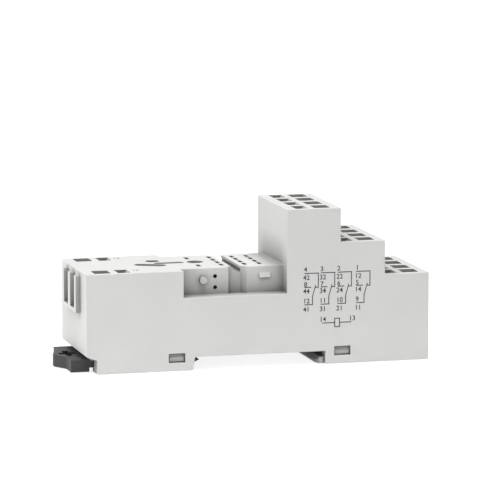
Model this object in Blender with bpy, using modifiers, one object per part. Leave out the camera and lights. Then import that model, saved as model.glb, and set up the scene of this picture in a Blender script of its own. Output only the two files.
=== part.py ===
"""Rail-mount socket for a four-pole plug-in relay, with spring-clamp wire entries.

Lengths are in metres and +Z is up.  Sizes along X are counted from the left end of the moulded
body; the empty that carries every piece then brings the middle of the socket to the origin.
"""

import math

import bmesh
import bpy
from mathutils import Matrix, Vector

# Wire entries: one wire hole and one release hole for each clamp
WIRE_HOLE_LENGTH = 0.0046
RELEASE_HOLE_LENGTH = 0.0036
ENTRY_WIDTH = 0.0053
ENTRY_WEB = 0.00166
ENTRY_EDGE = 0.00245
ENTRY_CORNER = 0.0005
FUNNEL_NARROWING = 0.0013
RELEASE_RAMP = 0.0006
RELEASE_RAMP_DROP = 0.00025
RELEASE_TAPER = 0.0004
RELEASE_TAPER_DROP = 0.0007
RISER_EDGE = 0.0001
ROOF_DEPTH = 0.006
CLAMP_DEPTH = 0.0102

# Terminal columns across the body
POLES = 4
COLUMN_PITCH = 0.0074
COLUMN_WIDTH = 0.0059
SIDE_WALL = 0.00105
SIDE_SKIN = 0.00095

# Relay blades: pitch across the socket, and row spacing counted from the tower
BLADE_PITCH = 0.0044
BLADE_CHANNEL = 0.0035
BLADE_SLOT_LENGTH = 0.0011
BLADE_SLOT_WIDTH = 0.0031
CLOSED_ROW_INSET = 0.0056
CLOSED_TO_OPEN = 0.0041
OPEN_TO_COMMON = 0.00635
COMMON_TO_COIL = 0.0063

# Moulded body along X and Z
LEFT_BLOCK_LENGTH = 0.0266
PLATFORM_LENGTH = 0.0285
PLATFORM_WALL = 0.00295
TOWER_FRONT = 0.0026
WALL = 0.0012
BLOCK_HEIGHT = 0.0268
PLATFORM_ROOF = 0.0027
RECESS_DEPTH = 0.0072
LOW_TIER_HEIGHT = 0.0238
TIER_RISE = 0.0092
EDGE_ROUND = 0.00015
COIL_ENTRY_EDGE = 0.0026

# Feet and the channel for a 35 mm rail
FOOT_HEIGHT = 0.0035
LEFT_FOOT_START = 0.00295
LEFT_FOOT_LENGTH = 0.02675
LEFT_FOOT_DRAFT = 0.0006
RAIL_CHANNEL = 0.0361
END_FACE_LIFT = 0.0048
TOE_HEIGHT = 0.0037

# Details of the side recess
PIVOT_RADIUS = 0.00098
PIVOT_HEIGHT = 0.001
PIVOT_DROP = 0.0032
PIN_HOLE_RADIUS = 0.00055
PIN_HOLE_DEPTH = 0.0024
PIN_HOLE_FORWARD = 0.0034
PIN_HOLE_DROP = 0.0006
PIN_HOLE_SPACING = 0.003
NUB_LENGTH = 0.0031
NUB_THICKNESS = 0.0014
NUB_HEIGHT = 0.00042
NUB_FROM_TOWER = 0.0037
NUB_DROP = 0.0017
KEYWAY_LENGTH = 0.0037
KEYWAY_DEPTH = 0.0014
KEYWAY_BEHIND_COMMON = 0.00075
GROOVE_WIDTH = 0.0026
GROOVE_DEPTH = 0.0017
GROOVE_LOBE = 0.00048
GROOVE_OFFSET = 0.001
GROOVE_LIP = 0.0006
GROOVE_UNDERCUT = 0.0001
GROOVE_LIP_LEAN = 0.0002

# Moulded recesses in the top face
MARK_DEPTH = 0.0013
ROUND_MARK_RADIUS = 0.00225
ROUND_MARK_FORWARD = 0.0007
LINE_MARK_LENGTH = 0.0083
LINE_MARK_WIDTH = 0.0021
LINE_MARK_GAP = 0.0008
OVAL_MARK_LENGTH = 0.0039
OVAL_MARK_WIDTH = 0.0033
OVAL_MARK_ANGLE = math.radians(-12)
OVAL_MARK_OFFSET = 0.0041
SLANT_MARK_LENGTH = 0.0088
SLANT_MARK_WIDTH = 0.0034
SLANT_MARK_ANGLE = math.radians(-24)
SLANT_MARK_OFFSET = 0.0024
SLANT_MARK_BACK = 0.0016

# Marker holder on the left end
HOLDER_REACH = 0.0013
HOLDER_BOTTOM = 0.0156
HOLDER_HEIGHT = 0.0099
HOLDER_RIM = 0.001
HOLDER_RIB = 0.0019
HOLDER_MIDDLE_RIB = 0.0026
HOLDER_SLOT = 0.005
HOLDER_SLOT_DEPTH = 0.00003
HOLDER_TOP_STEP = 0.00005
END_CORE_INSET = 0.0056

# Snap windows in the feet
WINDOW_LENGTH = 0.00455
WINDOW_HEIGHT = 0.0025
WINDOW_BOTTOM = 0.0022
WINDOW_INSET = 0.00275
TAB_REACH = 0.00035

# Base cover
CLEARANCE = 0.0003
COVER_PLATE = 0.0016
SEAT_RELIEF = 0.0002
COVER_SKIN = 0.00095
LIP_REACH = 0.0021
LIP_THICKNESS = 0.0018
LIP_HALF = 0.0141
LIP_CORNER_LENGTH = 0.0012
LIP_CORNER_WIDTH = 0.0031
LIP_EDGE = 0.0006
LIP_SLOPE = 0.0008
LIP_POCKET_DEPTH = 0.0011
LIP_POCKET_MARGIN = 0.0021
LIP_POCKET_ROOF = 0.0003
FOOT_CORES = 3

# Rail latch
LATCH_WIDTH = 0.022
LATCH_NECK = 0.00205
LATCH_HEAD_TOP = 0.0034
LATCH_HEAD_BOTTOM = 0.00015
LATCH_HEAD_REACH = 0.0033
LATCH_HEAD_GAP = 0.00125
LATCH_NOSE_REACH = 0.0024
LATCH_NOSE_TIP = 0.0012
LATCH_NOSE_BASE = 0.0049
LATCH_NOSE_ROUND = 0.0006
LATCH_BASE_ROUND = 0.0012
TOOTH_REACH = 0.0021
TOOTH_TOP_DROP = 0.0011
TOOTH_CHAMFER = 0.0018
CROSS_LENGTH = 0.0046
CROSS_SPAN = 0.008
CROSS_LONG_SLOT = 0.0024
CROSS_SPAN_SLOT = 0.0016
CROSS_INSET = 0.0015
LATCH_WINDOW_WIDTH = 0.0042
MOUTH_LENGTH = 0.003
MOUTH_FLANGE = 0.0018

# Latch spring and the post that it pushes against
SPRING_START = 0.012
SPRING_SPACE = 0.010
SPRING_WIRE = 0.0005
SPRING_RADIUS = 0.0014
SPRING_TURNS = 7
POST_LENGTH = 0.0015
POST_WIDTH = 0.0034

# Contact bars and clamp springs, cut and bent from strip
STRIP_THICKNESS = 0.0006
BAR_LEVEL_STEP = 0.00365
FORK_DEPTH = 0.006
FORK_HALF_MOUTH = 0.00095
FORK_HALF_PINCH = 0.0005
FORK_PINCH_DROP = 0.002
STEM_OFFSET = 0.0011
BAR_WALL_GAP = 0.0004
PLATE_HEIGHT = 0.0085
SPRING_STRIP = 0.0004
SPRING_SIDE_GAP = 0.0006
SPRING_RISE = 0.0074
SPRING_BEND = 0.0014
LEG_TIP_RISE = 0.0024
LEG_TIP_LENGTH = 0.0009

# Sizes that follow from the ones above
ENTRY_PAIR = RELEASE_HOLE_LENGTH + ENTRY_WEB + WIRE_HOLE_LENGTH
TIER_RUN = RISER_EDGE + ENTRY_PAIR + ENTRY_EDGE
TOWER_LENGTH = TOWER_FRONT + ENTRY_PAIR + ENTRY_EDGE
BODY_HALF = ((POLES - 1) * COLUMN_PITCH + COLUMN_WIDTH) / 2 + SIDE_WALL
INNER_HALF = BODY_HALF - SIDE_SKIN
GALLERY_HALF = BODY_HALF - WALL
PLATFORM_HALF = ((POLES - 1) * BLADE_PITCH + BLADE_CHANNEL) / 2 + PLATFORM_WALL
TOWER_START = LEFT_BLOCK_LENGTH + PLATFORM_LENGTH
TIER_ENDS = [TOWER_START + TOWER_LENGTH + k * TIER_RUN for k in range(3)]
TIER_TOPS = [LOW_TIER_HEIGHT + (2 - k) * TIER_RISE for k in range(3)]
TIER_STARTS = [TOWER_START + WALL, TIER_ENDS[0], TIER_ENDS[1]]
BODY_LENGTH = TIER_ENDS[2]
RECESS_FLOOR = BLOCK_HEIGHT - RECESS_DEPTH
PLATFORM_CEILING = BLOCK_HEIGHT - PLATFORM_ROOF
COVER_TOP = FOOT_HEIGHT + COVER_PLATE
POCKET_TOP = COVER_TOP + CLEARANCE
COVER_HALF = INNER_HALF - CLEARANCE
LEFT_FOOT_END = LEFT_FOOT_START + LEFT_FOOT_LENGTH
RIGHT_FOOT_START = LEFT_FOOT_END + RAIL_CHANNEL
CLOSED_ROW = TOWER_START - CLOSED_ROW_INSET
OPEN_ROW = CLOSED_ROW - CLOSED_TO_OPEN
COMMON_ROW = OPEN_ROW - OPEN_TO_COMMON
COIL_ROW = COMMON_ROW - COMMON_TO_COIL
KEYWAY_START = COMMON_ROW + KEYWAY_BEHIND_COMMON
NECK_BOTTOM = COVER_SKIN + CLEARANCE
NECK_TOP = NECK_BOTTOM + LATCH_NECK
LATCH_REACH = LATCH_HEAD_REACH + LATCH_NOSE_REACH
SPRING_END = SPRING_START + SPRING_SPACE
POST_START = SPRING_START - POST_LENGTH
BAR_LEVELS = [COVER_TOP + CLEARANCE + STRIP_THICKNESS + k * BAR_LEVEL_STEP for k in range(3)]
PARTITION_FOOT = BAR_LEVELS[2]
COIL_CHAMBER_END = COIL_ENTRY_EDGE + ENTRY_PAIR + WALL
COIL_GALLERY_START = COIL_CHAMBER_END + WALL
COIL_GALLERY_END = LEFT_BLOCK_LENGTH - WALL
PLATE_INSET = BAR_WALL_GAP + STRIP_THICKNESS / 2
GALLERY_START = TOWER_START - 2 * WALL
GALLERY_END = TIER_STARTS[0] + 2 * PLATE_INSET
OVERCUT = 0.001
ROUND_STEPS = 20

COLUMN_Y = [(k - (POLES - 1) / 2) * COLUMN_PITCH for k in range(POLES)]
BLADE_Y = [(k - (POLES - 1) / 2) * BLADE_PITCH for k in range(POLES)]
OUTER_POLES = (0, POLES - 1)

LIGHT_GREY = (0.78, 0.78, 0.77, 1.0)
COVER_GREY = (0.60, 0.60, 0.59, 1.0)
DARK_GREY = (0.075, 0.075, 0.078, 1.0)
PLATED_COPPER = (0.72, 0.66, 0.52, 1.0)
SPRING_STEEL = (0.55, 0.56, 0.58, 1.0)


def clear_scene():
    for old in list(bpy.data.objects):
        bpy.data.objects.remove(old, do_unlink=True)


def new_collection(name):
    collection = bpy.data.collections.new(name)
    bpy.context.scene.collection.children.link(collection)
    return collection


def make_material(name, colour, roughness, metallic=0.0):
    material = bpy.data.materials.new(name)
    material.use_nodes = True
    shader = material.node_tree.nodes["Principled BSDF"]
    shader.inputs["Base Color"].default_value = colour
    shader.inputs["Roughness"].default_value = roughness
    shader.inputs["Metallic"].default_value = metallic
    return material


def finish_mesh(name, bm, collection):
    """Turns the working mesh into an object carried by the socket's empty."""
    bmesh.ops.recalc_face_normals(bm, faces=bm.faces)
    mesh = bpy.data.meshes.new(name)
    bm.to_mesh(mesh)
    bm.free()
    obj = bpy.data.objects.new(name, mesh)
    collection.objects.link(obj)
    obj.parent = carrier
    if collection is cutters:
        obj.hide_render = True
        obj.display_type = "WIRE"
    return obj


def draw_prism(bm, outline, plane, low, high):
    """Draws a flat outline in the XZ, YZ or XY plane along the remaining axis."""
    corner = {
        "XZ": lambda u, v: (u, low, v),
        "YZ": lambda u, v: (low, u, v),
        "XY": lambda u, v: (u, v, low),
    }[plane]
    travel = {"XZ": (0, 1, 0), "YZ": (1, 0, 0), "XY": (0, 0, 1)}[plane]
    ring = [bm.verts.new(corner(u, v)) for u, v in outline]
    face = bm.faces.new(ring)
    grown = bmesh.ops.extrude_face_region(bm, geom=[face])
    far_side = [item for item in grown["geom"] if isinstance(item, bmesh.types.BMVert)]
    bmesh.ops.translate(bm, verts=far_side, vec=Vector(travel) * (high - low))
    return ring + far_side


def draw_box(bm, low, high):
    low, high = Vector(low), Vector(high)
    place = Matrix.LocRotScale((low + high) / 2, None, high - low)
    return bmesh.ops.create_cube(bm, size=1.0, matrix=place)["verts"]


def draw_post(bm, start, end, radius):
    """A round bar between two points on one line along Y or Z."""
    start, end = Vector(start), Vector(end)
    along = end - start
    turn = Vector((0, 0, 1)).rotation_difference(along).to_matrix().to_4x4()
    place = Matrix.Translation((start + end) / 2) @ turn
    bmesh.ops.create_cone(
        bm, cap_ends=True, segments=ROUND_STEPS, radius1=radius, radius2=radius,
        depth=along.length, matrix=place,
    )


def arc(centre, radius, start, end, steps):
    """Points on an arc in a flat outline, angles in degrees."""
    angles = [math.radians(start + (end - start) * k / steps) for k in range(steps + 1)]
    return [(centre[0] + radius * math.cos(a), centre[1] + radius * math.sin(a)) for a in angles]


def add_boolean(obj, other, operation):
    modifier = obj.modifiers.new(other.name, "BOOLEAN")
    modifier.operation = operation
    modifier.solver = "MANIFOLD"
    modifier.object = other


def prism_object(name, outline, plane, low, high, collection):
    bm = bmesh.new()
    draw_prism(bm, outline, plane, low, high)
    return finish_mesh(name, bm, collection)


def box_object(name, boxes, collection):
    bm = bmesh.new()
    for low, high in boxes:
        draw_box(bm, low, high)
    return finish_mesh(name, bm, collection)


# Moulded housing


def entry_places():
    """Each clamp's wire-hole span, release-hole span, top height and centre line."""
    places = []
    for end, top in zip(TIER_ENDS, TIER_TOPS):
        wire = (end - ENTRY_EDGE - WIRE_HOLE_LENGTH, end - ENTRY_EDGE)
        release = (wire[0] - ENTRY_WEB - RELEASE_HOLE_LENGTH, wire[0] - ENTRY_WEB)
        places += [(wire, release, top, y) for y in COLUMN_Y]
    wire = (COIL_ENTRY_EDGE, COIL_ENTRY_EDGE + WIRE_HOLE_LENGTH)
    release = (wire[1] + ENTRY_WEB, wire[1] + ENTRY_WEB + RELEASE_HOLE_LENGTH)
    places += [(wire, release, BLOCK_HEIGHT, COLUMN_Y[k]) for k in OUTER_POLES]
    return places


def housing_body():
    """Side outline drawn across the width, with the relay platform between the side recesses."""
    outline = [
        (0, END_FACE_LIFT), (LEFT_FOOT_START, TOE_HEIGHT), (LEFT_FOOT_START, 0),
        (LEFT_FOOT_END - LEFT_FOOT_DRAFT, 0), (LEFT_FOOT_END, FOOT_HEIGHT),
        (RIGHT_FOOT_START, FOOT_HEIGHT), (RIGHT_FOOT_START, 0), (BODY_LENGTH, 0),
        (BODY_LENGTH, TIER_TOPS[2]), (TIER_ENDS[1], TIER_TOPS[2]), (TIER_ENDS[1], TIER_TOPS[1]),
        (TIER_ENDS[0], TIER_TOPS[1]), (TIER_ENDS[0], TIER_TOPS[0]), (TOWER_START, TIER_TOPS[0]),
        (TOWER_START, RECESS_FLOOR), (LEFT_BLOCK_LENGTH, RECESS_FLOOR),
        (LEFT_BLOCK_LENGTH, BLOCK_HEIGHT), (0, BLOCK_HEIGHT),
    ]
    body = prism_object("housing", outline, "XZ", -BODY_HALF, BODY_HALF, pieces)
    platform = box_object(
        "housing_platform",
        [((LEFT_BLOCK_LENGTH - OVERCUT, -PLATFORM_HALF, RECESS_FLOOR - OVERCUT),
          (TOWER_START + OVERCUT, PLATFORM_HALF, BLOCK_HEIGHT))],
        cutters,
    )
    add_boolean(body, platform, "UNION")
    rounding = body.modifiers.new("edge_round", "BEVEL")
    rounding.width = EDGE_ROUND
    rounding.segments = 2
    rounding.limit_method = "ANGLE"
    rounding.angle_limit = math.radians(30)
    return body


def marker_holder():
    """Three ribs on a bottom rim that hold a marker plate against the left end."""
    bottom = HOLDER_BOTTOM
    floor = HOLDER_BOTTOM + HOLDER_RIM
    top = HOLDER_BOTTOM + HOLDER_HEIGHT
    inner = HOLDER_MIDDLE_RIB / 2
    outer = inner + HOLDER_SLOT
    side = outer + HOLDER_RIB
    profile = [(-HOLDER_REACH, bottom), (WALL / 2, bottom), (WALL / 2, top), (-HOLDER_REACH, top)]
    holder = prism_object("marker_holder", profile, "XZ", -side, side, cutters)
    front = -HOLDER_REACH - OVERCUT
    slots = box_object(
        "marker_slots",
        [((front, min(a, b), floor), (HOLDER_SLOT_DEPTH, max(a, b), top + HOLDER_TOP_STEP))
         for a, b in ((inner, outer), (-inner, -outer))],
        cutters,
    )
    return holder, slots


def recess_details():
    """Pivot bosses and stop nubs that stand on the two walls of the platform."""
    bm = bmesh.new()
    nub_end = TOWER_START - NUB_FROM_TOWER
    nub_top = BLOCK_HEIGHT - NUB_DROP
    for side in (-1, 1):
        root = side * (PLATFORM_HALF - OVERCUT)
        pivot = (COIL_ROW, BLOCK_HEIGHT - PIVOT_DROP)
        tip = side * (PLATFORM_HALF + PIVOT_HEIGHT)
        draw_post(bm, (pivot[0], root, pivot[1]), (pivot[0], tip, pivot[1]), PIVOT_RADIUS)
        nub_foot = nub_top - NUB_THICKNESS
        face = side * (PLATFORM_HALF + NUB_HEIGHT)
        ramp = [(root, nub_foot), (face, nub_foot), (side * PLATFORM_HALF, nub_top), (root, nub_top)]
        draw_prism(bm, ramp, "YZ", nub_end - NUB_LENGTH, nub_end)
    return finish_mesh("recess_details", bm, cutters)


def recess_cuts():
    """Pin holes, the two keyways beside the platform and the groove across its top."""
    bm = bmesh.new()
    pin_x = COIL_ROW + PIN_HOLE_FORWARD
    pin_middle = BLOCK_HEIGHT - PIVOT_DROP - PIN_HOLE_DROP
    for side in (-1, 1):
        for drop in (-PIN_HOLE_SPACING / 2, PIN_HOLE_SPACING / 2):
            start = (pin_x, side * (PLATFORM_HALF + OVERCUT), pin_middle + drop)
            end = (pin_x, side * (PLATFORM_HALF - PIN_HOLE_DEPTH), pin_middle + drop)
            draw_post(bm, start, end, PIN_HOLE_RADIUS)
    holes = finish_mesh("pin_holes", bm, cutters)

    bm = bmesh.new()
    wall = PLATFORM_HALF - KEYWAY_DEPTH
    mouth = PLATFORM_HALF + OVERCUT
    back = KEYWAY_START + KEYWAY_LENGTH
    slant = back + KEYWAY_DEPTH + OVERCUT
    keyway = [(KEYWAY_START, wall), (back, wall), (slant, mouth), (KEYWAY_START, mouth)]
    for side in (-1, 1):
        outline = [(x, side * y) for x, y in keyway]
        draw_prism(bm, outline, "XY", RECESS_FLOOR, BLOCK_HEIGHT + OVERCUT)
    keyways = finish_mesh("keyways", bm, cutters)

    left = KEYWAY_START + GROOVE_OFFSET
    right = left + GROOVE_WIDTH
    lobe_z = BLOCK_HEIGHT - GROOVE_DEPTH + GROOVE_LOBE
    lobe_2 = right + GROOVE_UNDERCUT - GROOVE_LOBE
    lobe_1 = lobe_2 - 2 * GROOVE_LOBE
    lip = BLOCK_HEIGHT - GROOVE_LIP
    groove = [(left, BLOCK_HEIGHT + OVERCUT), (left, BLOCK_HEIGHT)]
    groove += arc((lobe_1, lobe_z), GROOVE_LOBE, 200, 330, 5)
    groove += arc((lobe_2, lobe_z), GROOVE_LOBE, 210, 360, 5)
    groove += [(right + GROOVE_UNDERCUT, lip), (right - GROOVE_LIP_LEAN, lip)]
    groove += [(right, BLOCK_HEIGHT), (right, BLOCK_HEIGHT + OVERCUT)]
    cross_groove = prism_object("cross_groove", groove, "XZ", -BODY_HALF, BODY_HALF, cutters)
    return holes, keyways, cross_groove


def top_marks():
    """Shallow moulded recesses in the top face: a disc, a line and two ovals."""
    top = BLOCK_HEIGHT + OVERCUT
    floor = BLOCK_HEIGHT - MARK_DEPTH
    disc_x = COIL_ROW + ROUND_MARK_FORWARD
    line_end = disc_x - ROUND_MARK_RADIUS - LINE_MARK_GAP
    line_start = line_end - LINE_MARK_LENGTH

    def stadium(centre, length, width, angle):
        half = width / 2
        straight = length / 2 - half
        ends = arc((straight, 0), half, -90, 90, 6) + arc((-straight, 0), half, 90, 270, 6)
        turn = Matrix.Rotation(angle, 2)
        return [Vector(centre) + turn @ Vector(point) for point in ends]

    bm = bmesh.new()
    draw_post(bm, (disc_x, 0, floor), (disc_x, 0, top), ROUND_MARK_RADIUS)
    line_middle = ((line_start + line_end) / 2, 0)
    line = stadium(line_middle, LINE_MARK_LENGTH, LINE_MARK_WIDTH, 0)
    oval_middle = (line_start + LINE_MARK_WIDTH / 4, OVAL_MARK_OFFSET)
    oval = stadium(oval_middle, OVAL_MARK_LENGTH, OVAL_MARK_WIDTH, OVAL_MARK_ANGLE)
    slant_middle = (line_start - SLANT_MARK_BACK, -SLANT_MARK_OFFSET)
    slant = stadium(slant_middle, SLANT_MARK_LENGTH, SLANT_MARK_WIDTH, SLANT_MARK_ANGLE)
    for outline in (line, oval, slant):
        draw_prism(bm, outline, "XY", floor, top)
    return finish_mesh("top_marks", bm, cutters)


def entry_cuts():
    """Funnels for the wires, and openings for the release tool that lead in by a ramp and a taper."""
    bm = bmesh.new()
    for wire, release, top, y in entry_places():
        near, far = y - ENTRY_WIDTH / 2, y + ENTRY_WIDTH / 2
        floor = top - ROOF_DEPTH - OVERCUT
        funnel = draw_box(bm, (wire[0], near, floor), (wire[1], far, top + OVERCUT))
        foot = [v for v in funnel if v.co.z < top - OVERCUT]
        shrink = Vector((1 - FUNNEL_NARROWING / WIRE_HOLE_LENGTH, 1 - FUNNEL_NARROWING / ENTRY_WIDTH, 1))
        centre = Matrix.Translation((-(wire[0] + wire[1]) / 2, -y, 0))
        bmesh.ops.scale(bm, vec=shrink, space=centre, verts=foot)
        left, right = release
        throat = (left + RELEASE_RAMP, right - RELEASE_TAPER)
        opening = [
            (left, top + OVERCUT), (left, top), (throat[0], top - RELEASE_RAMP_DROP), (throat[0], floor),
            (throat[1], floor), (throat[1], top - RELEASE_TAPER_DROP), (right, top), (right, top + OVERCUT),
        ]
        draw_prism(bm, opening, "XZ", near, far)
    uprights = [e for e in bm.edges if abs(e.verts[0].co.z - e.verts[1].co.z) > ROOF_DEPTH / 2]
    bmesh.ops.bevel(
        bm, geom=uprights, offset=ENTRY_CORNER, offset_type="OFFSET", segments=2, profile=0.5,
        affect="EDGES", clamp_overlap=True,
    )
    return finish_mesh("entries", bm, cutters)


def blade_cuts():
    """Slots in the platform for the relay's blades."""
    bm = bmesh.new()
    rows = [(CLOSED_ROW, BLADE_Y), (OPEN_ROW, BLADE_Y), (COMMON_ROW, BLADE_Y)]
    rows.append((COIL_ROW, [BLADE_Y[k] for k in OUTER_POLES]))
    for x, columns in rows:
        for y in columns:
            half = Vector((BLADE_SLOT_LENGTH / 2, BLADE_SLOT_WIDTH / 2, 0))
            draw_box(bm, Vector((x, y, PLATFORM_CEILING - OVERCUT)) - half,
                     Vector((x, y, BLOCK_HEIGHT + OVERCUT)) + half)
    return finish_mesh("blade_slots", bm, cutters)


def chamber_cuts():
    """Hollows that open downwards: clamp chambers, bar galleries, blade channels and cores."""
    foot = POCKET_TOP - CLEARANCE
    comb = [(TIER_STARTS[0], foot), (BODY_LENGTH - WALL, foot)]
    for k in (2, 1, 0):
        ceiling = TIER_TOPS[k] - ROOF_DEPTH
        comb += [(TIER_ENDS[k] - WALL, PARTITION_FOOT)] if k < 2 else []
        comb += [(TIER_ENDS[k] - WALL, ceiling), (TIER_STARTS[k], ceiling)]
        comb += [(TIER_STARTS[k], PARTITION_FOOT)] if k > 0 else []
    bm = bmesh.new()
    for y in COLUMN_Y:
        draw_prism(bm, comb, "XZ", y - COLUMN_WIDTH / 2, y + COLUMN_WIDTH / 2)
    columns = finish_mesh("clamp_columns", bm, cutters)

    gallery_top = RECESS_FLOOR - 2 * WALL
    jog = box_object(
        "bar_gallery",
        [((GALLERY_START, -GALLERY_HALF, foot), (GALLERY_END, GALLERY_HALF, gallery_top))],
        cutters,
    )

    channels = []
    for k, y in enumerate(BLADE_Y):
        start = COIL_GALLERY_END - WALL / 2 if k in OUTER_POLES else COMMON_ROW - 2 * WALL
        channels.append(((start, y - BLADE_CHANNEL / 2, foot),
                         (GALLERY_START + WALL, y + BLADE_CHANNEL / 2, PLATFORM_CEILING)))
    blade_channels = box_object("blade_channels", channels, cutters)

    core_inner = PLATFORM_HALF - WALL
    side_cores = box_object(
        "side_cores",
        [((COIL_ROW - WALL, min(a, b), foot), (GALLERY_START - WALL, max(a, b), gallery_top))
         for a, b in ((core_inner, GALLERY_HALF), (-core_inner, -GALLERY_HALF))],
        cutters,
    )

    ceiling = BLOCK_HEIGHT - ROOF_DEPTH
    coil_half = COLUMN_WIDTH / 2
    chambers = []
    passages = []
    for k in OUTER_POLES:
        y = COLUMN_Y[k]
        chambers.append(((WALL, y - coil_half, foot), (COIL_CHAMBER_END, y + coil_half, ceiling)))
        passages.append(((COIL_CHAMBER_END - WALL, y - coil_half, foot),
                         (COIL_GALLERY_START + WALL, y + coil_half, PARTITION_FOOT)))
    core_half = COLUMN_Y[-1] - coil_half - WALL
    chambers.append(((END_CORE_INSET, -core_half, foot),
                     (COIL_CHAMBER_END, core_half, PLATFORM_CEILING)))
    coil_chambers = box_object("coil_chambers", chambers, cutters)
    coil_passages = box_object("coil_passages", passages, cutters)
    gallery_inner = BLADE_Y[-1] - BLADE_CHANNEL / 2 - CLEARANCE
    coil_galleries = box_object(
        "coil_galleries",
        [((COIL_GALLERY_START, min(a, b), foot), (COIL_GALLERY_END, max(a, b), PLATFORM_CEILING))
         for a, b in ((gallery_inner, GALLERY_HALF), (-gallery_inner, -GALLERY_HALF))],
        cutters,
    )
    return columns, jog, blade_channels, side_cores, coil_chambers, coil_passages, coil_galleries


def window_places():
    """Left and right edges of the snap windows in the two feet."""
    left_end = LEFT_FOOT_END - WINDOW_INSET
    right_start = RIGHT_FOOT_START + WINDOW_INSET - CLEARANCE
    return [(left_end - WINDOW_LENGTH, left_end), (right_start, right_start + WINDOW_LENGTH)]


def base_cuts():
    """The pocket that takes the base cover, and the snap windows through both side skins."""
    pocket = box_object(
        "cover_pocket",
        [((WALL, -INNER_HALF, -OVERCUT), (BODY_LENGTH - WALL, INNER_HALF, POCKET_TOP))],
        cutters,
    )
    reach = BODY_HALF + OVERCUT
    windows = box_object(
        "snap_windows",
        [((start, -reach, WINDOW_BOTTOM), (end, reach, WINDOW_BOTTOM + WINDOW_HEIGHT))
         for start, end in window_places()],
        cutters,
    )
    return pocket, windows


def build_housing():
    body = housing_body()
    holder, marker_slots = marker_holder()
    add_boolean(body, holder, "UNION")
    add_boolean(body, recess_details(), "UNION")
    cuts = [marker_slots, *base_cuts(), *chamber_cuts(), *recess_cuts()]
    cuts += [top_marks(), blade_cuts(), entry_cuts()]
    for cut in cuts:
        add_boolean(body, cut, "DIFFERENCE")
    body.data.materials.append(make_material("light_grey_plastic", LIGHT_GREY, 0.5))


# Base cover


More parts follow.
